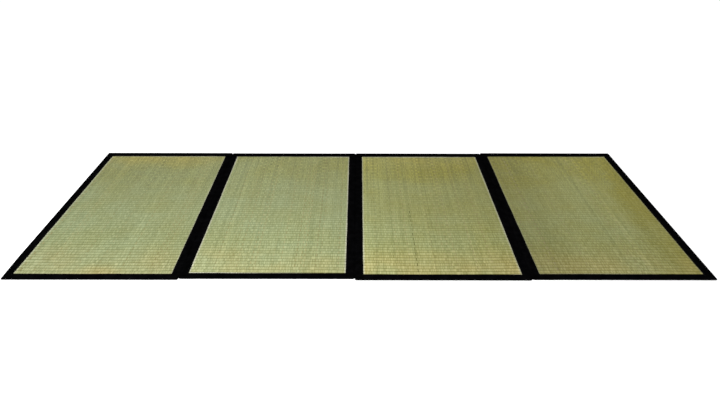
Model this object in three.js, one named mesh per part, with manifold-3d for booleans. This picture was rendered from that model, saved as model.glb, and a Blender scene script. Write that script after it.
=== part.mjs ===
// A folding tatami mat, laid out flat: four woven rush panels, each bound in black cloth on its four edges,
// joined side by side by narrow cloth hinges.
// Millimetres. +X runs along the mat, +Y from its front edge to its back edge, +Z up.
// The origin is at the centre of the mat's footprint, on the floor.

import * as THREE from "three";
import { mergeVertices } from "three/addons/utils/BufferGeometryUtils.js";
import Module from "manifold-3d";

const wasm = await Module();
wasm.setup();

// The mat from front to back, and the groove between two neighbouring panels.
const MAT_DEPTH = 900;
const HINGE_GAP = 3;

// The panels from left to right, cut and sewn a little unevenly.
// length: along the mat. front, back: how far its edges stop short of the mat's front and back lines.
// left, right: how far the binding covers its side edges.
// cut: how much of the front rib of its weave is cut off.
const PANELS = [
  { length: 494, front: 1, back: 3.5, left: 26.5, right: 22, cut: 5 },
  { length: 488, front: 6, back: 5.5, left: 22, right: 23.5, cut: 2.5 },
  { length: 494, front: 0, back: 5, left: 23.5, right: 23, cut: 3 },
  { length: 515, front: 3, back: 0, left: 23, right: 28, cut: 2 },
];

// Cloth, and the clearance that sewn pieces keep to each other.
const CLOTH = 1;
const CLEARANCE = 0.3;

// Binding: how far it covers the front and back edges of a panel, and how its corners are rounded in plan.
const FRONT_COVER = 24.5;
const BACK_COVER = 33;
const CORNER_RADIUS = 3;
const CORNER_STEPS = 4;
const FOLD_STEPS = 3;

// Woven rush: its thickness at the top of a rib, how far it stops short of the binding's folded edge, and the
// ribs that its stalks form over the warp.
const RUSH_THICKNESS = 2.4;
const RUSH_INSET = 3.2;
const RIB_PITCH = 14.6;
const RIB_RELIEF = 0.8;
const RIB_STEPS = 5;
const RIB_FULLNESS = 0.6;

// Hinge cloth: its thickness, and how far its ends stop short of the panels' corners.
const HINGE_THICKNESS = 1.2;
const HINGE_END = 3;

// Worked out from the sizes above.
const THICKNESS = 2 * (CLOTH + CLEARANCE) + RUSH_THICKNESS;
const FOLD_RADIUS = 0.49 * THICKNESS;
const MAT_LENGTH = PANELS.reduce((sum, panel) => sum + panel.length, (PANELS.length - 1) * HINGE_GAP);

const rushMaterial = new THREE.MeshStandardMaterial({ color: 0xa9ab72, roughness: 0.75, metalness: 0 });
const clothMaterial = new THREE.MeshStandardMaterial({ color: 0x0b0b0c, roughness: 0.9, metalness: 0 });

function namedMesh(name, geometry, material) {
  const mesh = new THREE.Mesh(geometry, material);
  mesh.name = name;
  return mesh;
}

// A closed geometry as a solid that can be cut.
function solidOf(geometry) {
  geometry.deleteAttribute("normal");
  geometry.deleteAttribute("uv");
  const merged = mergeVertices(geometry, 1e-4);
  const vertProperties = merged.attributes.position.array;
  const triVerts = new Uint32Array(merged.index.array);
  return new wasm.Manifold(new wasm.Mesh({ numProp: 3, vertProperties, triVerts }));
}

// A cut solid as a geometry with flat faces.
function geometryOf(solid) {
  const { vertProperties, triVerts } = solid.getMesh();
  const geometry = new THREE.BufferGeometry();
  geometry.setAttribute("position", new THREE.BufferAttribute(vertProperties, 3));
  geometry.setIndex(new THREE.BufferAttribute(triVerts, 1));
  const faceted = geometry.toNonIndexed();
  faceted.computeVertexNormals();
  return faceted;
}

// The corners of a plan rectangle, counterclockwise from front left.
function corners({ left, right, front, back }) {
  return [
    new THREE.Vector2(left, front),
    new THREE.Vector2(right, front),
    new THREE.Vector2(right, back),
    new THREE.Vector2(left, back),
  ];
}

// A plan rectangle of a given size round the origin.
function centred(length, depth) {
  return { left: -length / 2, right: length / 2, front: -depth / 2, back: depth / 2 };
}

// An upright prism over a plan outline, from one height to another.
function prism(outline, bottom, top) {
  const options = { depth: top - bottom, bevelEnabled: false };
  const geometry = new THREE.ExtrudeGeometry(new THREE.Shape(outline), options);
  return solidOf(geometry.translate(0, 0, bottom));
}

// A whole bound panel as one flat solid: corners rounded in plan, and edges rounded by the folded cloth.
function boundBlank(length, depth) {
  const x = length / 2 - CORNER_RADIUS;
  const y = depth / 2 - CORNER_RADIUS;
  const shape = new THREE.Shape();
  shape.absarc(x, y, CORNER_RADIUS, 0, 0.5 * Math.PI);
  shape.absarc(-x, y, CORNER_RADIUS, 0.5 * Math.PI, Math.PI);
  shape.absarc(-x, -y, CORNER_RADIUS, Math.PI, 1.5 * Math.PI);
  shape.absarc(x, -y, CORNER_RADIUS, 1.5 * Math.PI, 2 * Math.PI);
  const geometry = new THREE.ExtrudeGeometry(shape, {
    depth: THICKNESS - 2 * FOLD_RADIUS,
    bevelThickness: FOLD_RADIUS,
    bevelSize: FOLD_RADIUS,
    bevelOffset: -FOLD_RADIUS,
    bevelSegments: FOLD_STEPS,
    curveSegments: CORNER_STEPS,
  });
  return solidOf(geometry.translate(0, 0, FOLD_RADIUS));
}

// The folded cloth round a panel, before it is parted at its mitres: open above and below the bare rush, with
// a slot that takes the edges of the rush.
function boundRing(length, depth, opening) {
  const trim = 2 * (RUSH_INSET - CLEARANCE);
  const window = prism(corners(opening), -THICKNESS, 2 * THICKNESS);
  const slot = prism(corners(centred(length - trim, depth - trim)), CLOTH, THICKNESS - CLOTH);
  return boundBlank(length, depth).subtract(window).subtract(slot);
}

// The four strips of binding round a panel. Each is the part of the ring between two mitres, and a mitre runs
// from a corner of the panel to the same corner of its opening.
function bindings(panel, depth, number) {
  const edges = centred(panel.length, depth);
  const opening = {
    left: edges.left + panel.left,
    right: edges.right - panel.right,
    front: edges.front + FRONT_COVER,
    back: edges.back - BACK_COVER,
  };
  const ring = boundRing(panel.length, depth, opening);
  const inner = corners(opening);
  // The mitres run on past the panel's corners, so that each strip is parted right through.
  const outer = corners(edges).map((corner, i) => corner.multiplyScalar(2).sub(inner[i]));
  return ["front", "right", "back", "left"].map((side, i) => {
    const j = (i + 1) % inner.length;
    const apart = inner[j].clone().sub(inner[i]).setLength(CLEARANCE / Math.SQRT2);
    const starts = [outer[i], inner[i]].map((point) => point.clone().add(apart));
    const ends = [outer[j], inner[j]].map((point) => point.clone().sub(apart));
    const strip = ring.intersect(prism([starts[0], ends[0], ends[1], starts[1]], -THICKNESS, 2 * THICKNESS));
    return namedMesh(`binding_${number}_${side}`, geometryOf(strip), clothMaterial);
  });
}

// Thickness of the rush at a distance from where its first rib would start if it were whole: full ribs, with
// narrow valleys between them.
function rushThickness(distance) {
  const phase = (distance / RIB_PITCH) % 1;
  return RUSH_THICKNESS - RIB_RELIEF * (1 - Math.sin(Math.PI * phase) ** RIB_FULLNESS);
}

// One panel of woven rush, its ribs running along the mat.
function rushPanel(panel, depth, number) {
  const rushLength = panel.length - 2 * RUSH_INSET;
  const rushDepth = depth - 2 * RUSH_INSET;
  const spacing = RIB_PITCH / RIB_STEPS;
  const first = panel.cut;
  const last = panel.cut + rushDepth;
  const section = [new THREE.Vector2(0, 0), new THREE.Vector2(rushDepth, 0)];
  section.push(new THREE.Vector2(rushDepth, rushThickness(last)));
  for (let i = Math.floor(last / spacing); i * spacing > first; i--) {
    section.push(new THREE.Vector2(i * spacing - first, rushThickness(i * spacing)));
  }
  section.push(new THREE.Vector2(0, rushThickness(first)));
  const options = { depth: rushLength, bevelEnabled: false };
  const geometry = new THREE.ExtrudeGeometry(new THREE.Shape(section), options);
  // The section is drawn flat and then stood up: its width along Y, its height along Z, its length along X.
  const alongX = new THREE.Vector3(1, 0, 0);
  const alongY = new THREE.Vector3(0, 1, 0);
  const alongZ = new THREE.Vector3(0, 0, 1);
  geometry.applyMatrix4(new THREE.Matrix4().makeBasis(alongY, alongZ, alongX));
  geometry.translate(-rushLength / 2, -rushDepth / 2, CLOTH + CLEARANCE);
  return namedMesh(`rush_panel_${number}`, geometry, rushMaterial);
}

// The cloth hinge in the groove between a panel and the next one.
function hinge(panel, next, number) {
  const front = Math.max(panel.front, next.front) + HINGE_END - MAT_DEPTH / 2;
  const back = MAT_DEPTH / 2 - Math.max(panel.back, next.back) - HINGE_END;
  const width = HINGE_GAP - 2 * CLEARANCE;
  const geometry = new THREE.BoxGeometry(width, back - front, HINGE_THICKNESS);
  const mesh = namedMesh(`hinge_${number}`, geometry, clothMaterial);
  mesh.position.set(0, (front + back) / 2, THICKNESS / 2);
  return mesh;
}

// The panels and hinges, laid side by side from the mat's left edge.
const mat = new THREE.Group();
let edge = -MAT_LENGTH / 2;
PANELS.forEach((panel, i) => {
  const number = i + 1;
  const depth = MAT_DEPTH - panel.front - panel.back;
  const bound = new THREE.Group();
  bound.position.set(edge + panel.length / 2, (panel.front - panel.back) / 2, 0);
  bound.add(rushPanel(panel, depth, number), ...bindings(panel, depth, number));
  mat.add(bound);
  edge += panel.length + HINGE_GAP;
  if (number < PANELS.length) {
    const web = hinge(panel, PANELS[number], number);
    web.position.x = edge - HINGE_GAP / 2;
    mat.add(web);
  }
});

export default mat;
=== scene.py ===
"""The looks of a folding tatami mat: woven rush panels, cloth bindings with their sewing, and cloth hinges.

Metres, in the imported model's frame: +X along the mat, +Y from its front edge to its back edge, +Z up.
"""

import math
from types import SimpleNamespace

import bpy
import numpy as np
from mathutils import Matrix, Vector


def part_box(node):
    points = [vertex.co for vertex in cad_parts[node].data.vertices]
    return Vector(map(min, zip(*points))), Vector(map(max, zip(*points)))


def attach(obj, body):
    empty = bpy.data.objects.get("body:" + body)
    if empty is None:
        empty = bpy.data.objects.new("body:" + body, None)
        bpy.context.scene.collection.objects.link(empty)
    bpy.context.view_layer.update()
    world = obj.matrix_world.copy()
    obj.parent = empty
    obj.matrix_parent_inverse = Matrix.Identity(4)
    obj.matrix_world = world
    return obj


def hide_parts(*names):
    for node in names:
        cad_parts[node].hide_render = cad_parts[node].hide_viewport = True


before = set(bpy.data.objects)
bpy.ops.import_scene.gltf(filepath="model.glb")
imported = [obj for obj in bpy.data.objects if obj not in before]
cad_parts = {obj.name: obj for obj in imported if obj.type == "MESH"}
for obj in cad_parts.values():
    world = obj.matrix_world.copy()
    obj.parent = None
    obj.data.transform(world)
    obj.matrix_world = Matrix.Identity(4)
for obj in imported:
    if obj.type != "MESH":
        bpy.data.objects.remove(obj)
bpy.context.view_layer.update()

MM = 0.001
WHITE = (1, 1, 1, 1)

# The sides of a panel, counterclockwise, and the way that each one runs.
SIDES = ("front", "right", "back", "left")
WAYS = ((1, 0), (0, 1), (-1, 0), (0, -1))

# The weave. A stalk shows as a float over one rib and dips under the next, where its neighbours show.
RIB_PITCH = 14.6 * MM
FLOAT_PITCH = 2.1 * MM
# The rows of points in a rib, as shares of it: in the valley before it, and on the front and back of its
# crest. Their shares are compared to PHASE_DIGITS places.
RIB_PHASES = (0.0, 0.28, 0.72)
PHASE_DIGITS = 6
# The least distance of a row from the weave's front and back edges, in ribs.
NEAREST_ROW = 0.05
# How deep the valleys, the grooves between floats and a missing stalk's gap are, and how uneven floats are.
VALLEY_DEPTH = 1.1 * MM
GROOVE_DEPTH = 0.55 * MM
GAP_DEPTH = 2 * GROOVE_DEPTH
FLOAT_UNEVEN = 0.2 * MM
# How far ribs and stalks stray, the distance over which they do, and how near to an edge they stray less.
RIB_DRIFT = 0.9 * MM
RIB_DRIFT_SPACING = 60 * MM
STALK_DRIFT = 0.5 * MM
STALK_DRIFT_SPACING = 140 * MM
STRAIGHT_EDGE = 20 * MM
# What is added to a panel's seed for some of its random draws.
RIB_SEED = 100
STALK_SEED = 50
PATCH_SEED = 5
BUNCH_SEED = 9

# The panels from left to right.
# seed: for their random draws. cut: how much of the front rib is cut off.
# sway: how far back the ribs lie at the panel's left edge, in its middle and at its right edge.
# aged, bright: at the same three places, how far the stalks have turned from green to olive, and how bright
# they are, partly by their own tone and partly by painted light and shade. depth: how bright they are at the
# front and back, with 1 in the middle, partly by their own tone and partly by painted light and shade.
# ends: how far they have turned to straw at the left and right of the front, and at the back.
# worn: how much further they have aged by the right edge. pale: how pale they are beside the binding.
# valleys: how bright the valleys between the ribs are at the front and back, under their painted shade.
# gaps: missing stalks, each by its distance from the weave's left edge and the share of the weave's depth,
# from the front, over which it is missing.
PANELS = (
    dict(seed=11, cut=5 * MM, sway=(1.8 * MM, -1 * MM, 1.8 * MM),
         aged=(0.06, 0.22, 0.15), bright=(0.76, 0.78, 0.75), depth=(1.03, 0.93),
         ends=(0.58, 0.3, 0.7), worn=0.0, pale=0.6, valleys=(0.27, 0.85), gaps=()),
    dict(seed=23, cut=2.5 * MM, sway=(3 * MM, 1 * MM, -2 * MM),
         aged=(0.11, 0.17, 0.22), bright=(0.76, 0.78, 0.73), depth=(1.14, 0.96),
         ends=(0.36, 0.18, 0.04), worn=0.0, pale=1.0, valleys=(0.34, 0.85), gaps=()),
    dict(seed=37, cut=3 * MM, sway=(1 * MM, -2.4 * MM, 2.2 * MM),
         aged=(0.42, 0.52, 0.58), bright=(0.86, 0.75, 0.71), depth=(1.14, 1.0),
         ends=(0.34, 0.34, 0.3), worn=0.0, pale=0.7, valleys=(0.25, 0.85), gaps=((176 * MM, 0.52),)),
    dict(seed=41, cut=2 * MM, sway=(0.8 * MM, 0.9 * MM, -5.8 * MM),
         aged=(0.65, 0.53, 0.58), bright=(0.58, 0.76, 0.83), depth=(0.96, 1.05),
         ends=(0.24, 0.22, 0.0), worn=0.4, pale=0.3, valleys=(0.44, 0.85), gaps=()),
)

# Colours of the rush: two greens that lie in streaks, what they age to, the front and back ends of the
# stalks, the few brown stalks, and the pale stalks beside the binding.
GREEN = (0.265, 0.305, 0.15)
FRESH = (0.235, 0.28, 0.135)
OLIVE = (0.214, 0.197, 0.022)
STRAW = (0.385, 0.305, 0.115)
DRY_STRAW = (0.33, 0.295, 0.075)
BROWN = (0.21, 0.185, 0.065)
PALE = (0.44, 0.44, 0.32)
# How far the straw reaches in from the front and back hems, and the pale stalks from any hem.
FRONT_END = 13 * RIB_PITCH
BACK_END = 11 * RIB_PITCH
PALE_WIDTH = 6 * MM
# How far a worn right edge reaches in at its front and back, and how much its wear darkens it.
WORN_WIDTHS = (190 * MM, 40 * MM)
WORN_SHADE = 0.3

# Noises that the rush varies by. A scale is by floats along the mat and by ribs from front to back.
STREAKS = dict(scale=(0.09, 0.035), detail=3.0, roughness=0.6)
PATCHES = dict(scale=(0.012, 0.09))
BUNCHES = dict(scale=(0.4, 0.02), detail=1.0)
FIBRES = dict(scale=(7.0, 0.9))

# Ranges over which the rush changes: where a change starts and ends, and what it goes from and to.
# By streak: the share of the fresher green, and the brightness.
STREAK_FRESH = (0.35, 0.65, 0.0, 0.65)
STREAK_TONE = (0.25, 0.75, 0.94, 1.1)
# By patch: ageing, and how much of the ends' straw shows.
PATCH_AGED = (0.3, 0.7, -0.12, 0.12)
PATCH_STRAW = (0.3, 0.7, 0.4, 1.6)
# By bunch of stalks: the brightness.
BUNCH_TONE = (0.3, 0.7, 0.97, 1.03)
# From front to back: ageing, how much stalks differ in brightness, and the power by which brighter places
# lose colour and darker ones gain it, a painted sheen.
FAR_AGED = (0.35, 1.0, 0.0, 0.33)
STALK_CONTRAST = (0.5, 1.0, 0.3, 0.55)
SHEEN_PALING = (0.5, 0.8, -0.35, -0.1)
# By a stalk's random tone, from 0 to 1: how brown it is.
BROWN_STALKS = (0.94, 1.0)
# By the distance from a float's middle, in floats across it and in ribs along it: painted shade in the
# grooves between floats and the valleys between ribs, and a slight painted highlight on the crests. How
# bright a valley's painted shade leaves it is the panel's own.
GROOVE_SHADE = (0.3, 0.5, 1.05, 0.7)
VALLEY_EDGE = (0.36, 0.5)
CREST_HIGHLIGHT = 1.05
# Ranges from lowest to highest: ageing by stalk, brightness and roughness by fibre, and how much painted
# shade darkens a missing stalk's gap.
STALK_AGED = (-0.08, 0.08)
FIBRE_TONE = (0.9, 1.1)
FIBRE_ROUGHNESS = (0.5, 0.75)
GAP_SHADE = (-0.8, -0.45)
# How much floats differ in brightness at the front, in the middle and at the back, and the brightness that
# stalks and floats differ from.
FLOAT_CONTRAST = (0.43, 0.25, 0.42)
MIDDLE_TONE = 1.02
RUSH_SPECULAR = 0.25

# How strong and how high the fine relief is: the rush's fibres, the cloth's threads and the thread's twist.
FIBRE_BUMP = (0.35, 0.15 * MM)
CLOTH_BUMP = (0.5, 0.12 * MM)
THREAD_BUMP = (0.5, 0.05 * MM)

# The black cloth: the spacing of its threads, its wear, and its colours and roughness by wear.
CLOTH_THREADS = 0.9 * MM
CLOTH_WEAR = dict(scale=(40.0, 40.0), detail=4.0, roughness=0.65)
CLOTH_FADING = (0.35, 0.75)
CLOTH_BLACK = (0.0007, 0.0007, 0.0008)
CLOTH_FADED = (0.0019, 0.0019, 0.0021)
CLOTH_ROUGHNESS = (0.3, 0.7, 0.85, 1.0)

# The sewing thread: its stitches, the corners of its section in degrees, its twist, colours and shine.
STITCH_PITCH = 4.6 * MM
STITCH_LENGTH = 3.7 * MM
THREAD_RADIUS = 0.24 * MM
THREAD_CORNERS = (45, 135, 225, 315)
THREAD_TWIST = 0.5 * MM
THREAD_TONES = dict(scale=(90.0, 90.0))
THREAD_FADING = (0.3, 0.7)
THREAD_BLACK = (0.0012, 0.0012, 0.0015)
THREAD_FADED = (0.003, 0.003, 0.0035)
THREAD_ROUGHNESS = 0.6
THREAD_SPECULAR = 0.06
# Rings of a stitch from end to end: how far along it, as a share, and how wide and high, in thread radii.
STITCH_RINGS = ((0.0, 0.35, -0.2), (0.2, 1.0, 0.55), (0.8, 1.0, 0.55), (1.0, 0.35, -0.2))

# How a panel's faces share the width of the map that they are laid out on: top, four walls and underside.
TOP_SHARE = 0.86
WALLS_START = 0.865
WALL_STEP = 0.008
WALL_FILL = 0.7
UNDERSIDE_START = 0.9

# The binding: cloth folded over a panel's edge, built in steps along it, with a narrow gap at its mitres.
CLOTH_THICKNESS = 0.9 * MM
CLOTH_STEP = 4 * MM
MITRE_GAP = 0.15 * MM
# Its corners, rounded in plan. The rounding fades out from the fold over the strip's width / CORNER_FADE.
CORNER_RADIUS = 3 * MM
CORNER_POINTS = 6
CORNER_FADE = 2.4
# How far the mat's front left corner is drawn in along the mat, and over which stretch of the left edge.
CORNER_DRAW = 2.8 * MM
CORNER_DRAW_REACH = 110 * MM
# The binding's section: points round the outside and the inside of the fold, and how far from the hem or
# the fold others lie. The sewn line is at SEW_INSET.
FOLD_POINTS = 7
INNER_FOLD_POINTS = 5
HEM_INSET = 1.3 * MM
SEW_INSET = 3 * MM
PAST_SEW_INSET = 5 * MM
FOLD_INSET = 4 * MM
# How the binding dips along the sewn line, bulges between that and the fold, and puckers by the hem.
SEW_DIP = 0.22 * MM
SEW_DIP_WIDTH = 1.6 * MM
CROWN = 0.12 * MM
CROWN_SPACING = 90 * MM
PUCKER = 0.14 * MM
PUCKER_SPACING = 7 * MM
# How far the hem and the fold stray, and the distance over which they do. The hem's ripple is a share of
# its drift.
HEM_DRIFT = 0.5 * MM
HEM_DRIFT_SPACING = 70 * MM
HEM_RIPPLE = 0.3
HEM_RIPPLE_SPACING = 11 * MM
FOLD_DRIFT = 0.35 * MM
FOLD_DRIFT_SPACING = 130 * MM
# Shares of the strip's width, from the fold: what doesn't follow the hem, and what follows the fold.
STILL_SHARE = 0.4
FOLD_SHARE = 0.5
# The binding lies calm up to CALM_END from its ends, and strays freely from FREE_START on.
CALM_END = 24 * MM
FREE_START = 64 * MM
# Seeds of a strip's random draws: by panel, by side and by what is drawn.
PANEL_SEED_STEP = 100
SIDE_SEED_STEP = 10
HEM_SEED, RIPPLE_SEED, FOLD_SEED, PUCKER_SEED, CROWN_SEED = range(5)

# The hinge cloth: how far it is tucked in against the folds on each side of it, and the points across it.
HINGE_TUCK = 0.4 * MM
HINGE_POINTS = 7
# How far it sags and how unevenly, as shares of half its solid's height, and over which distance.
HINGE_SAG = 0.5
HINGE_SLACK = 0.25
HINGE_SLACK_SPACING = 17 * MM
HINGE_SEED = 900

# The camera, at the photograph's viewing angle, with its turns in degrees and its lens and sensor in mm.
CAMERA_PLACE = (-4.0 * MM, -1953.8 * MM, 1020.5 * MM)
CAMERA_PITCH = 27.639
CAMERA_YAW = 0.206
CAMERA_ROLL = 0.192
CAMERA_LENS = 32.442
SENSOR_WIDTH = 36

# The floor, the even light from all round, and one softbox.
FLOOR_REACH = 30
FLOOR_GAP = 0.3 * MM
SKY_STRENGTH = 1.03
LAMP_SIZE = 1.2
LAMP_WATTS = 34
LAMP_PLACE = (-0.55, -1.4, 1.2)
LAMP_AIM = (-0.2, 0, 0)


def wander(places, spacing, seed):
    """A smooth random drift between -1 and 1 at each place, which changes over about one spacing."""
    knots = np.random.default_rng(seed).uniform(-1, 1, int(np.ptp(places) / spacing) + 3)
    at = (places - places.min()) / spacing
    before = at.astype(int)
    share = at - before
    share = share * share * (3 - 2 * share)
    return knots[before] * (1 - share) + knots[before + 1] * share


def plan_corners(low, high):
    """Corners of a plan rectangle, counterclockwise from front left."""
    return [(low[0], low[1]), (high[0], low[1]), (high[0], high[1]), (low[0], high[1])]


def tube_faces(index):
    """Faces of closed tubes, from the numbers of their points by tube, by ring along it and round each ring.

    They are the faces round the tubes, and the caps on their ends.
    """
    after = np.roll(index, -1, axis=2)
    sides = np.stack([index[:, :-1], after[:, :-1], after[:, 1:], index[:, 1:]], -1).reshape(-1, 4)
    caps = np.concatenate([index[:, 0, ::-1], index[:, -1]])
    return sides.tolist(), caps.tolist()


def mesh_piece(name, points, faces, material):
    """A shown piece of the mat, made from its points and faces."""
    mesh = bpy.data.meshes.new(name)
    mesh.from_pydata(points, [], faces)
    mesh.materials.append(material)
    piece = bpy.data.objects.new(name, mesh)
    bpy.context.scene.collection.objects.link(piece)
    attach(piece, "root")
    return piece


def cloth_piece(name, rings, material):
    """A length of cloth with smooth sides and flat ends, from the points of each ring along it."""
    sides, caps = tube_faces(np.arange(rings[..., 0].size).reshape(1, *rings.shape[:2]))
    piece = mesh_piece(name, rings.reshape(-1, 3), sides + caps, material)
    piece.data.polygons.foreach_set("use_smooth", [True] * len(sides) + [False] * len(caps))
    return piece


def add_map(mesh, name, places):
    """A UV map with a place for each face corner."""
    layer = mesh.uv_layers.new(name=name)
    layer.uv.foreach_set("vector", np.asarray(places, np.float32).ravel())


def corner_points(mesh):
    """The point that each face corner of a mesh uses."""
    found = np.empty(len(mesh.loops), np.int32)
    mesh.loops.foreach_get("vertex_index", found)
    return found


class Shading:
    """One material's nodes, built by short calls that return sockets."""

    def __init__(self, name):
        self.material = bpy.data.materials.new(name)
        self.material.use_nodes = True
        self.nodes = self.material.node_tree.nodes
        self.links = self.material.node_tree.links
        self.shader = next(n for n in self.nodes if n.type == "BSDF_PRINCIPLED")

    def put(self, value, socket):
        """Links a socket's value, or sets a plain one."""
        if isinstance(value, bpy.types.NodeSocket):
            self.links.new(value, socket)
        else:
            socket.default_value = value

    def math(self, operation, *values, clamp=False):
        node = self.nodes.new("ShaderNodeMath")
        node.operation = operation
        node.use_clamp = clamp
        for value, socket in zip(values, node.inputs):
            self.put(value, socket)
        return node.outputs[0]

    def chain(self, operation, first, *others):
        """One operation on the first value and each of the others in turn."""
        for other in others:
            first = self.math(operation, first, other)
        return first

    def apart(self, end, start, pitch):
        """The distance from one count to another, by their pitch."""
        return self.math("MULTIPLY", self.math("SUBTRACT", end, start), pitch)

    def wave(self, value, spacing):
        """A sine wave from -1 to 1 that repeats after each spacing."""
        return self.math("SINE", self.math("MULTIPLY", value, 2 * math.pi / spacing))

    def blend(self, share, low, high):
        """Goes evenly from low to high as the share goes from 0 to 1."""
        return self.math("MULTIPLY_ADD", share, high - low, low)

    def across(self, share, first, middle, last):
        """Goes from first to middle to last as the share goes from 0 to 1."""
        rise = self.blend(self.math("MULTIPLY", share, 2.0, clamp=True), first, middle)
        later = self.math("MULTIPLY_ADD", share, 2.0, -1.0, clamp=True)
        return self.math("MULTIPLY_ADD", later, last - middle, rise)

    def ramp(self, value, start, end, low=0.0, high=1.0):
        """Eases from low, where value is start, to high, where it is end."""
        node = self.nodes.new("ShaderNodeMapRange")
        node.interpolation_type = "SMOOTHSTEP"
        for v, socket in zip((value, start, end, low, high), node.inputs):
            self.put(v, socket)
        return node.outputs[0]

    def differ(self, tone, contrast):
        """A brightness to both sides of the middle one, from a random tone from 0 to 1."""
        return self.math("MULTIPLY_ADD", self.math("SUBTRACT", tone, 0.5), contrast, MIDDLE_TONE)

    def vector(self, x, y, z=0.0):
        node = self.nodes.new("ShaderNodeCombineXYZ")
        for value, socket in zip((x, y, z), node.inputs):
            self.put(value, socket)
        return node.outputs[0]

    def split(self, vector):
        node = self.nodes.new("ShaderNodeSeparateXYZ")
        self.put(vector, node.inputs[0])
        return node.outputs

    def place(self):
        """The place on the piece, in its own frame."""
        return self.split(self.nodes.new("ShaderNodeTexCoord").outputs["Object"])[:3]

    def counts(self):
        """The place on the weave, counted in floats and ribs."""
        node = self.nodes.new("ShaderNodeUVMap")
        node.uv_map = "weave"
        return self.split(node.outputs[0])[:2]

    def noise(self, x, y, z, scale, detail=2.0, roughness=0.5):
        """Smooth noise from 0 to 1, with a scale along x and one along y."""
        node = self.nodes.new("ShaderNodeTexNoise")
        place = self.vector(self.math("MULTIPLY", x, scale[0]), self.math("MULTIPLY", y, scale[1]), z)
        self.put(place, node.inputs["Vector"])
        node.inputs["Scale"].default_value = 1.0
        node.inputs["Detail"].default_value = detail
        node.inputs["Roughness"].default_value = roughness
        return node.outputs[0]

    def chance(self, vector):
        """A random value from 0 to 1 for each whole-numbered place."""
        node = self.nodes.new("ShaderNodeTexWhiteNoise")
        self.put(vector, node.inputs["Vector"])
        return node.outputs[0]

    def mix(self, share, a, b):
        """Goes from colour a to colour b as the share goes from 0 to 1, and no further."""
        node = self.nodes.new("ShaderNodeMix")
        node.data_type = "RGBA"
        self.put(share, node.inputs["Factor"])
        for value, name in ((a, "A"), (b, "B")):
            socket = next(s for s in node.inputs if s.name == name and s.type == "RGBA")
            self.put(value if isinstance(value, bpy.types.NodeSocket) else (*value, 1.0), socket)
        return next(s for s in node.outputs if s.type == "RGBA")

    def brighten(self, colour, value, saturation):
        node = self.nodes.new("ShaderNodeHueSaturation")
        self.put(colour, node.inputs["Color"])
        self.put(value, node.inputs["Value"])
        self.put(saturation, node.inputs["Saturation"])
        return node.outputs[0]

    def bump(self, height, strength, distance):
        node = self.nodes.new("ShaderNodeBump")
        node.inputs["Strength"].default_value = strength
        node.inputs["Distance"].default_value = distance
        self.put(height, node.inputs["Height"])
        self.put(node.outputs[0], self.shader.inputs["Normal"])

    def finish(self, **values):
        """Sets the shader's own inputs, and gives the material."""
        for name, value in values.items():
            self.put(value, self.shader.inputs[name.replace("_", " ").title().replace("Ior", "IOR")])
        return self.material


class Weave:
    """One panel's weave: its box, and its extent in floats along the mat and in ribs from front to back.

    Its gaps are missing stalks, each by its middle in half floats and the share of the depth that it takes.
    """

    def __init__(self, number, panel):
        self.number = number
        self.panel = panel
        self.node = f"rush_panel_{number}"
        self.low, self.high = (np.array(corner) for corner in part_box(self.node))
        self.size = self.high - self.low
        self.floats = round(self.size[0] / FLOAT_PITCH)
        self.ribs = self.size[1] / RIB_PITCH
        self.first = panel["cut"] / RIB_PITCH
        self.last = self.first + self.ribs
        self.gaps = [(round(2 * gap / FLOAT_PITCH), end) for gap, end in panel["gaps"]]

    def hems(self):
        """Where the bindings' hems lie on the weave: left and right in floats, front and back in ribs."""
        boxes = {side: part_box(f"binding_{self.number}_{side}") for side in SIDES}
        sides = boxes["left"][1][0], boxes["right"][0][0]
        ends = boxes["front"][1][1], boxes["back"][0][1]
        left, right = ((x - self.low[0]) / self.size[0] * self.floats for x in sides)
        front, back = ((y - self.low[1]) / RIB_PITCH + self.first for y in ends)
        return left, right, front, back


def weave_places(s, weave):
    """Where a place lies: on its float, on its panel, and from the hems round it."""
    u, v = s.counts()

    # Which rib and stalk it is on, and how far it is from the middle of its float. The floats on every
    # second rib are half a float off, and stalks are numbered by half floats, from their left edges.
    rib = s.math("FLOOR", v)
    odd = s.math("MODULO", rib, 2.0)
    place = s.math("MULTIPLY_ADD", odd, 0.5, u)
    stalk = s.math("SUBTRACT", s.math("MULTIPLY", s.math("FLOOR", place), 2.0), odd)
    across = s.math("ABSOLUTE", s.math("SUBTRACT", s.math("FRACT", place), 0.5))
    along = s.math("ABSOLUTE", s.math("SUBTRACT", s.math("FRACT", v), 0.5))

    # Its place from left to right and from front to back, as shares, and its distance from the hems.
    side = s.math("DIVIDE", u, weave.floats)
    far = s.math("DIVIDE", s.math("SUBTRACT", v, weave.first), weave.ribs)
    left, right, front, back = weave.hems()
    from_left, from_right = s.apart(u, left, FLOAT_PITCH), s.apart(right, u, FLOAT_PITCH)
    from_front, from_back = s.apart(v, front, RIB_PITCH), s.apart(back, v, RIB_PITCH)
    from_hem = s.chain("MINIMUM", from_left, from_right, from_front, from_back)
    return SimpleNamespace(u=u, v=v, rib=rib, stalk=stalk, across=across, along=along, side=side, far=far,
                           from_right=from_right, from_front=from_front, from_back=from_back,
                           from_hem=from_hem)


def rush_draws(s, at, seed):
    """Random tones of the stalk and the float at a place, and the noises there."""
    return SimpleNamespace(
        stalk=s.chance(s.vector(at.stalk, seed)),
        float=s.chance(s.vector(at.stalk, at.rib, seed)),
        streak=s.noise(at.u, at.v, seed, **STREAKS),
        patch=s.noise(at.u, at.v, seed + PATCH_SEED, **PATCHES),
        bunch=s.noise(at.u, at.v, seed + BUNCH_SEED, **BUNCHES),
        fibre=s.noise(at.u, at.v, seed, **FIBRES),
    )


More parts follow.
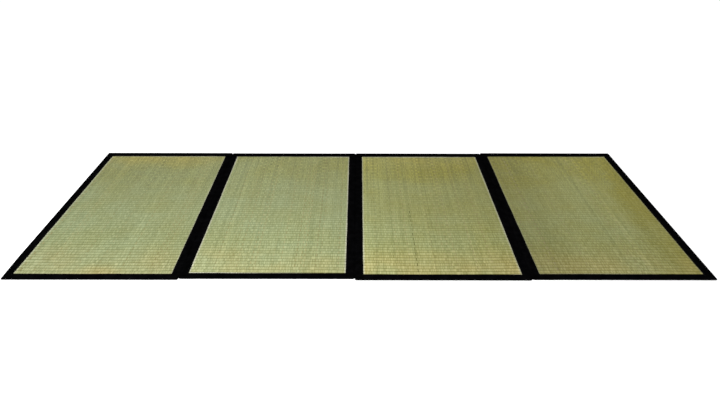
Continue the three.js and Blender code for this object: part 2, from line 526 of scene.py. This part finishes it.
def rush_colour(s, at, drawn, panel, worn):
    """Streaks of green that age to olive, straw at the stalks' ends and pale stalks beside the binding."""
    aged = s.chain("ADD", s.across(at.side, *panel["aged"]), s.ramp(at.far, *FAR_AGED), worn,
                   s.blend(drawn.stalk, *STALK_AGED), s.ramp(drawn.patch, *PATCH_AGED))
    front_left, front_right, at_back = panel["ends"]
    near_front = s.ramp(at.from_front, 0.0, FRONT_END, s.blend(at.side, front_left, front_right), 0.0)
    near_back = s.ramp(at.from_back, 0.0, BACK_END, at_back, 0.0)
    uneven = s.ramp(drawn.patch, *PATCH_STRAW)
    colour = s.mix(s.ramp(drawn.streak, *STREAK_FRESH), GREEN, FRESH)
    for share, turned in (
        (aged, OLIVE),
        (s.math("MULTIPLY", near_front, uneven), STRAW),
        (s.math("MULTIPLY", near_back, uneven), DRY_STRAW),
        (s.ramp(drawn.stalk, *BROWN_STALKS), BROWN),
        (s.ramp(at.from_hem, 0.0, PALE_WIDTH, panel["pale"], 0.0), PALE),
    ):
        colour = s.mix(share, colour, turned)
    return colour


def rush_tone_and_shade(s, at, drawn, weave):
    """Brightness by stalk, float and fibre, with painted shade in the grooves, valleys and gaps."""
    shine = s.chain(
        "MULTIPLY",
        s.blend(drawn.fibre, *FIBRE_TONE),
        s.differ(drawn.stalk, s.ramp(at.far, *STALK_CONTRAST)),
        s.differ(drawn.float, s.across(at.far, *FLOAT_CONTRAST)),
        s.ramp(drawn.streak, *STREAK_TONE),
        s.ramp(drawn.bunch, *BUNCH_TONE),
        # Painted shade in the grooves between floats and in the valleys between ribs, and a slight painted
        # highlight on the crests.
        s.ramp(at.across, *GROOVE_SHADE),
        s.ramp(at.along, *VALLEY_EDGE, CREST_HIGHLIGHT, s.blend(at.far, *weave.panel["valleys"])),
    )
    for gap, end in weave.gaps:
        # A gap is at its stalk's middle, one half float from the stalk's left edge.
        on_stalk = s.math("COMPARE", at.stalk, gap - 1.0, 0.5)
        missing = s.math("MULTIPLY", on_stalk, s.math("LESS_THAN", at.far, end))
        # Painted shade darkens the gap where the stalk is missing.
        shade = s.math("MULTIPLY_ADD", missing, s.blend(drawn.float, *GAP_SHADE), 1.0)
        shine = s.math("MULTIPLY", shine, shade)
    return shine


def rush_material(weave):
    """Dried rush: each stalk has its own tone along its whole length, and yellows towards its two ends."""
    panel = weave.panel
    s = Shading(f"rush_{weave.number}")
    at = weave_places(s, weave)
    drawn = rush_draws(s, at, float(panel["seed"]))
    worn = s.ramp(at.from_right, 0.0, s.blend(at.far, *WORN_WIDTHS), panel["worn"], 0.0)
    shine = rush_tone_and_shade(s, at, drawn, weave)

    # Brightness by place is partly the panel's own tone and partly painted light and shade. Where the
    # brightness
    # is higher a stalk is also paler: a painted sheen.
    front, back = panel["depth"]
    tone = s.chain("MULTIPLY", s.across(at.side, *panel["bright"]), s.across(at.far, front, 1.0, back),
                   shine, s.math("MULTIPLY_ADD", worn, -WORN_SHADE, 1.0))
    # Painted sheen: brighter places are paler, darker ones more saturated.
    strength = s.math("POWER", shine, s.ramp(at.far, *SHEEN_PALING))
    colour = s.brighten(rush_colour(s, at, drawn, panel, worn), tone, strength)
    roughness = s.blend(drawn.fibre, *FIBRE_ROUGHNESS)
    s.bump(drawn.fibre, *FIBRE_BUMP)
    return s.finish(base_color=colour, roughness=roughness, specular_ior_level=RUSH_SPECULAR)


def cloth_material():
    """Plain matt black cotton in a fine even weave."""
    s = Shading("black_cloth")
    x, y, z = s.place()
    s.bump(s.math("MULTIPLY", s.wave(x, CLOTH_THREADS), s.wave(y, CLOTH_THREADS)), *CLOTH_BUMP)
    wear = s.noise(x, y, z, **CLOTH_WEAR)
    colour = s.mix(s.ramp(wear, *CLOTH_FADING), CLOTH_BLACK, CLOTH_FADED)
    return s.finish(base_color=colour, roughness=s.ramp(wear, *CLOTH_ROUGHNESS), specular_ior_level=0.0)


def thread_material():
    """Black sewing thread, twisted, with a little more shine than the cloth."""
    s = Shading("black_thread")
    x, y, z = s.place()
    s.bump(s.wave(s.chain("ADD", x, y, z), THREAD_TWIST), *THREAD_BUMP)
    tone = s.noise(x, y, z, **THREAD_TONES)
    colour = s.mix(s.ramp(tone, *THREAD_FADING), THREAD_BLACK, THREAD_FADED)
    return s.finish(base_color=colour, roughness=THREAD_ROUGHNESS, specular_ior_level=THREAD_SPECULAR)


def weave_points(weave, u, v):
    """Places of the weave's top, by rows of ribs and columns of half floats."""
    low, high, seed = weave.low, weave.high, weave.panel["seed"]
    rib = np.floor(v).astype(int)
    rise = high[2] - np.random.default_rng(seed).uniform(0, FLOAT_UNEVEN, (rib.max() + 1, len(u)))
    over = np.isin(np.round(v - rib, PHASE_DIGITS), RIB_PHASES[1:])
    shows = (u[None, :] + rib[:, None]) % 2 == 1
    z = np.where(shows, rise[rib], rise[rib] - GROOVE_DEPTH)
    for gap, end in weave.gaps:
        missing = v < weave.first + end * weave.ribs
        z[missing, gap] = rise[rib[missing], gap] - GAP_DEPTH
    z = np.where(over[:, None], z, high[2] - VALLEY_DEPTH)

    # The ribs bow and wave along the mat, and the stalks wave a little from front to back, but less by the
    # edges.
    x = np.linspace(low[0], high[0], len(u))
    y = low[1] + (v - weave.first) * RIB_PITCH
    inside_x = np.minimum(1, np.minimum(x - low[0], high[0] - x) / STRAIGHT_EDGE)
    inside_y = np.minimum(1, np.minimum(y - low[1], high[1] - y) / STRAIGHT_EDGE)
    fade = inside_y[:, None] * inside_x[None, :]
    waves = np.array([wander(x, RIB_DRIFT_SPACING, seed + RIB_SEED + r) for r in range(rib.max() + 1)])
    leans = wander(y, STALK_DRIFT_SPACING, seed + STALK_SEED)
    sway = np.polyval(np.polyfit((low[0], (low[0] + high[0]) / 2, high[0]), weave.panel["sway"], 2), x)
    grid = np.empty((len(v), len(u), 3))
    grid[..., 0] = x[None, :] + STALK_DRIFT * leans[:, None] * fade
    grid[..., 1] = y[:, None] + RIB_DRIFT * waves[rib] * fade + inside_y[:, None] * sway[None, :]
    grid[..., 2] = z
    return grid


def rush_piece(weave):
    """One woven panel: a closed sheet whose top has every visible stalk as a raised float in its rib."""
    low, high = weave.low, weave.high
    v = np.array([rib + phase for rib in range(math.ceil(weave.last)) for phase in RIB_PHASES])
    v = v[(v > weave.first + NEAREST_ROW) & (v < weave.last - NEAREST_ROW)]
    v = np.concatenate([[weave.first], v, [weave.last]])
    u = np.arange(2 * weave.floats + 1)
    grid = weave_points(weave, u, v)

    index = np.arange(grid[..., 0].size).reshape(grid.shape[:2])
    top = np.stack([index[:-1, :-1], index[:-1, 1:], index[1:, 1:], index[1:, :-1]], -1).reshape(-1, 4)
    feet = index.size + np.arange(4)
    walls = [
        [feet[0], feet[1], *index[0, ::-1]],
        [feet[1], feet[2], *index[::-1, -1]],
        [feet[2], feet[3], *index[-1, :]],
        [feet[3], feet[0], *index[:, 0]],
    ]
    base = [(*corner, low[2]) for corner in plan_corners(low, high)]
    points = np.concatenate([grid.reshape(-1, 3), base])
    faces = [*top.tolist(), *[[int(i) for i in wall] for wall in walls], feet[::-1].tolist()]
    piece = mesh_piece(weave.node + "_weave", points, faces, rush_material(weave))
    piece.data.polygons.foreach_set("use_smooth", np.arange(len(faces)) < len(top))

    # One map counts floats and ribs.
    counts = np.stack(np.broadcast_arrays(u[None, :] / 2, v[:, None]), -1).reshape(-1, 2)
    counts = np.concatenate([counts, plan_corners((0, weave.first), (weave.floats, weave.last))])
    used = corner_points(piece.data)
    add_map(piece.data, "weave", counts[used])

    # The other lays the top, the walls and the underside out side by side.
    shares = (counts - (0, weave.first)) / (weave.floats, weave.ribs)
    laid = shares[used] * (TOP_SHARE, 1)
    under = np.arange(len(used) - len(feet), len(used))
    laid[under, 0] = UNDERSIDE_START + shares[used[under], 0] * (1 - UNDERSIDE_START)
    begin = top.size
    for i, wall in enumerate(walls):
        corners = np.arange(begin, begin + len(wall))
        height = (points[used[corners], 2] - low[2]) / weave.size[2]
        laid[corners, 0] = WALLS_START + WALL_STEP * (i + WALL_FILL * height)
        laid[corners, 1] = shares[used[corners], i % 2]
        begin += len(wall)
    add_map(piece.data, "OFBake", laid)
    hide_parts(weave.node)
    return piece


def binding_section(cover, height):
    """Outline of the folded cloth across its strip, once round from the top hem.

    Its points are the distance in from the folded edge, and the height.
    """
    fold = height / 2
    inner = fold - CLOTH_THICKNESS
    ceiling = height - CLOTH_THICKNESS
    turn = np.radians(np.linspace(90, -90, FOLD_POINTS))[1:-1]
    back_turn = np.radians(np.linspace(-90, 90, INNER_FOLD_POINTS))[1:-1]
    by_hem = [cover - inset for inset in (0, HEM_INSET, SEW_INSET, PAST_SEW_INSET)]
    top = [(s, height) for s in (*by_hem, cover / 2, fold + FOLD_INSET, fold)]
    outside = [(fold - fold * math.cos(a), fold + fold * math.sin(a)) for a in turn]
    bottom = [(fold, 0.0), (cover / 2, 0.0), (cover, 0.0)]
    under = [(cover, CLOTH_THICKNESS), (fold, CLOTH_THICKNESS)]
    inside = [(fold - inner * math.cos(a), fold + inner * math.sin(a)) for a in back_turn]
    over = [(fold, ceiling), (cover - SEW_INSET, ceiling), (cover, ceiling)]
    return np.array(top + outside + bottom + under + inside + over)


class Strip:
    """The plan of one strip of binding: where it starts, which ways it runs and reaches, and its mitres."""

    def __init__(self, number, side):
        boxes = {s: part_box(f"binding_{number}_{s}") for s in SIDES}
        i = SIDES.index(side)
        before, after = SIDES[i - 1], SIDES[(i + 1) % len(SIDES)]
        low = np.min([b[0] for b in boxes.values()], axis=0)
        high = np.max([b[1] for b in boxes.values()], axis=0)
        covers = {s: (b[1] - b[0])[0 if s in ("left", "right") else 1] for s, b in boxes.items()}
        self.name = f"binding_{number}_{side}"
        self.cover = covers[side]
        self.height = high[2] - low[2]
        self.start = np.array(plan_corners(low, high)[i])
        self.along = np.array(WAYS[i])
        self.inward = np.array([-self.along[1], self.along[0]])
        self.length = (high - low)[i % 2]
        self.mitres = covers[before] / self.cover, covers[after] / self.cover
        self.seed = PANEL_SEED_STEP * number + SIDE_SEED_STEP * i
        hinged = (side == "right" and number < len(PANELS)) or (side == "left" and number > 1)
        self.slack = 0 if hinged else FOLD_DRIFT
        self.draw = CORNER_DRAW if number == 1 else 0
        self.corner = low[:2]
        self.draw_reach = covers["left"], CORNER_DRAW_REACH

    def span(self, s):
        """Where the strip starts and ends, at a distance from its folded edge."""
        return s * self.mitres[0] + MITRE_GAP, self.length - s * self.mitres[1] - MITRE_GAP

    def place(self, t, s):
        """Plan places at distances along the strip and in from its folded edge, with the corners rounded."""
        first, last = self.span(s)
        t, s = np.array(t, float), np.array(s, float)
        fade = np.clip(1 - CORNER_FADE * s / self.cover, 0, 1)
        moved_t, moved_s = t.copy(), s.copy()
        for gone, way in ((t - first, 1), (last - t, -1)):
            near = np.clip(gone, 0, CORNER_RADIUS)
            turn = math.pi / 4 * (1 + near / CORNER_RADIUS)
            moved_t += way * fade * (CORNER_RADIUS * (1 - np.cos(turn)) - near)
            moved_s += fade * CORNER_RADIUS * (1 - np.sin(turn))
        plan = self.start + moved_t[..., None] * self.along + moved_s[..., None] * self.inward
        plan[..., 0] += self.draw * np.clip(1 - (plan - self.corner) / self.draw_reach, 0, 1).prod(-1)
        return plan

    def rings(self):
        """Where the cloth has its rings, as shares of the way along: close together round the corners.

        They stop about two widths of the strip before its far corner, where the cloth lies nearly straight.
        """
        corner = np.linspace(0, CORNER_RADIUS / self.length, CORNER_POINTS)
        count = round((self.length - 2 * self.cover) / CLOTH_STEP)
        steps = np.arange(1, count) / (self.length / CLOTH_STEP)
        return np.concatenate([corner, corner[-1] + steps, 1 - corner[::-1]])

    def calm(self, t):
        """How freely the cloth strays at distances along the strip: from 0 near its ends to 1."""
        from_end = np.minimum(t, self.length - t)
        return np.clip((from_end - CALM_END) / (FREE_START - CALM_END), 0, 1)

    def wander(self, t, spacing, drawn):
        """One of the strip's own random drifts, at distances along it."""
        return wander(t, spacing, self.seed + drawn)

    def hem(self, t):
        """How far the hem strays inwards at distances along the strip."""
        ripple = HEM_RIPPLE * self.wander(t, HEM_RIPPLE_SPACING, RIPPLE_SEED)
        return HEM_DRIFT * self.calm(t) * (self.wander(t, HEM_DRIFT_SPACING, HEM_SEED) + ripple)


def binding_piece(strip, material):
    """A strip of binding: cloth folded over the edge, sewn down near its hem, where it puckers a little."""
    section = binding_section(strip.cover, strip.height)
    s, z = section[:, 0], section[:, 1]
    first, last = strip.span(s)
    t = first[None, :] + strip.rings()[:, None] * (last - first)[None, :]

    # The hem and the fold stray in plan.
    middle = t.mean(1)
    calm = strip.calm(middle)
    by_hem = np.clip((s - STILL_SHARE * strip.cover) / ((1 - STILL_SHARE) * strip.cover), 0, 1)
    by_fold = 1 - np.clip(s / (FOLD_SHARE * strip.cover), 0, 1)
    slack = strip.slack * calm * (1 + strip.wander(middle, FOLD_DRIFT_SPACING, FOLD_SEED)) / 2
    strayed = s[None, :] + strip.hem(middle)[:, None] * by_hem[None, :] + slack[:, None] * by_fold[None, :]
    plan = strip.place(t, strayed)

    # The upper layer bulges, dips along the sewn line and puckers.
    upper = z > (strip.height + CLOTH_THICKNESS) / 2
    belly = np.sin(np.pi * np.clip(s / (strip.cover - SEW_INSET), 0, 1))
    sewn = np.exp(-(((s - strip.cover + SEW_INSET) / SEW_DIP_WIDTH) ** 2))
    fullness = 1 + strip.wander(middle, CROWN_SPACING, CROWN_SEED)
    gather = strip.wander(middle, PUCKER_SPACING, PUCKER_SEED) * calm
    lift = CROWN * belly[None, :] * fullness[:, None]
    lift = lift - SEW_DIP * sewn[None, :] + PUCKER * gather[:, None] * by_hem[None, :]
    height = z[None, :] + np.where(upper[None, :], lift, 0)

    piece = cloth_piece(strip.name + "_cloth", np.concatenate([plan, height[..., None]], -1), material)
    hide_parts(strip.name)
    return piece


def stitch_piece(strip, material):
    """The row of stitches that holds a strip of binding down, each a short bent thread."""
    s = strip.cover - SEW_INSET
    first, last = strip.span(s)
    count = int((last - first) / STITCH_PITCH)
    starts = first + (last - first - count * STITCH_PITCH) / 2 + np.arange(count) * STITCH_PITCH
    gone, width, rise = (column[None, :, None] for column in np.transpose(STITCH_RINGS))
    turn = np.radians(THREAD_CORNERS)
    t = starts[:, None, None] + STITCH_LENGTH * gone + np.zeros_like(turn)
    wide = THREAD_RADIUS * width
    in_from_fold = s + strip.hem(t.mean((1, 2)))[:, None, None] + wide * np.cos(turn)
    plan = strip.place(t, np.broadcast_to(in_from_fold, t.shape))
    top = strip.height - SEW_DIP + THREAD_RADIUS * rise + wide * np.sin(turn)
    points = np.concatenate([plan, np.broadcast_to(top, t.shape)[..., None]], -1).reshape(-1, 3)
    sides, caps = tube_faces(np.arange(t.size).reshape(t.shape))
    piece = mesh_piece(strip.name + "_stitches", points, sides + caps, material)
    piece.data.shade_smooth()
    return piece


def hinge_piece(number, material):
    """The cloth in the groove between two panels, which sags a little along its middle."""
    node = f"hinge_{number}"
    low, high = (np.array(corner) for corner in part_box(node))
    middle, half = (low + high) / 2, (high - low) / 2
    half[0] += HINGE_TUCK
    across = np.linspace(-1, 1, HINGE_POINTS)
    edges = np.concatenate([across, across[::-1]])
    upper = np.arange(len(edges)) < HINGE_POINTS
    belly = 1 - edges**2
    level = np.where(upper, half[2], half[2] - CLOTH_THICKNESS) - HINGE_SAG * half[2] * belly
    y = np.linspace(low[1], high[1], round((high[1] - low[1]) / CLOTH_STEP) + 1)
    slack = HINGE_SLACK * half[2] * wander(y, HINGE_SLACK_SPACING, HINGE_SEED + number)
    grid = np.empty((len(y), len(edges), 3))
    grid[..., 0] = middle[0] + half[0] * edges[None, :]
    grid[..., 1] = y[:, None]
    grid[..., 2] = middle[2] + level[None, :] + slack[:, None] * belly[None, :]
    piece = cloth_piece(node + "_cloth", grid, material)
    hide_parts(node)
    return piece


def make_mat():
    """All the pieces of the mat, each in place of its solid."""
    cloth, thread = cloth_material(), thread_material()
    for number, panel in enumerate(PANELS, 1):
        rush = rush_piece(Weave(number, panel))
        for side in SIDES:
            strip = Strip(number, side)
            binding = binding_piece(strip, cloth)
            sewn_on = [stitch_piece(strip, thread)]
            if side == "right" and number < len(PANELS):
                sewn_on.append(hinge_piece(number, cloth))


def make_stage():
    """A pale floor under soft light from the front left."""
    mesh = bpy.data.meshes.new("floor")
    corners = plan_corners((-FLOOR_REACH, -FLOOR_REACH), (FLOOR_REACH, FLOOR_REACH))
    mesh.from_pydata([(*corner, 0) for corner in corners], [], [(0, 1, 2, 3)])
    floor = bpy.data.objects.new("floor", mesh)
    floor.location.z = -FLOOR_GAP
    bpy.context.scene.collection.objects.link(floor)
    s = Shading("floor")
    mesh.materials.append(s.finish(base_color=WHITE, roughness=1.0, specular_ior_level=0.0))

    world = bpy.data.worlds.new("studio")
    bpy.context.scene.world = world
    world.use_nodes = True
    sky = next(n for n in world.node_tree.nodes if n.type == "BACKGROUND")
    sky.inputs["Color"].default_value = WHITE
    sky.inputs["Strength"].default_value = SKY_STRENGTH

    lamp = bpy.data.lights.new("softbox", "AREA")
    lamp.size = LAMP_SIZE
    lamp.energy = LAMP_WATTS
    softbox = bpy.data.objects.new("softbox", lamp)
    softbox.location = LAMP_PLACE
    aim = Vector(LAMP_AIM) - softbox.location
    softbox.rotation_euler = aim.to_track_quat("-Z", "Y").to_euler()
    bpy.context.scene.collection.objects.link(softbox)
    bpy.context.scene.view_settings.view_transform = "Standard"


def make_camera():
    """A camera that looks down on the mat from its front."""
    lens = bpy.data.cameras.new("camera")
    lens.lens = CAMERA_LENS
    lens.sensor_width = SENSOR_WIDTH
    camera = bpy.data.objects.new("camera", lens)
    camera.location = CAMERA_PLACE
    turns = ((-CAMERA_YAW, "Z"), (90 - CAMERA_PITCH, "X"), (CAMERA_ROLL, "Z"))
    yaw, pitch, roll = (Matrix.Rotation(math.radians(angle), 3, axis) for angle, axis in turns)
    camera.rotation_euler = (yaw @ pitch @ roll).to_euler()
    bpy.context.scene.collection.objects.link(camera)
    bpy.context.scene.camera = camera


make_camera()
make_mat()
make_stage()
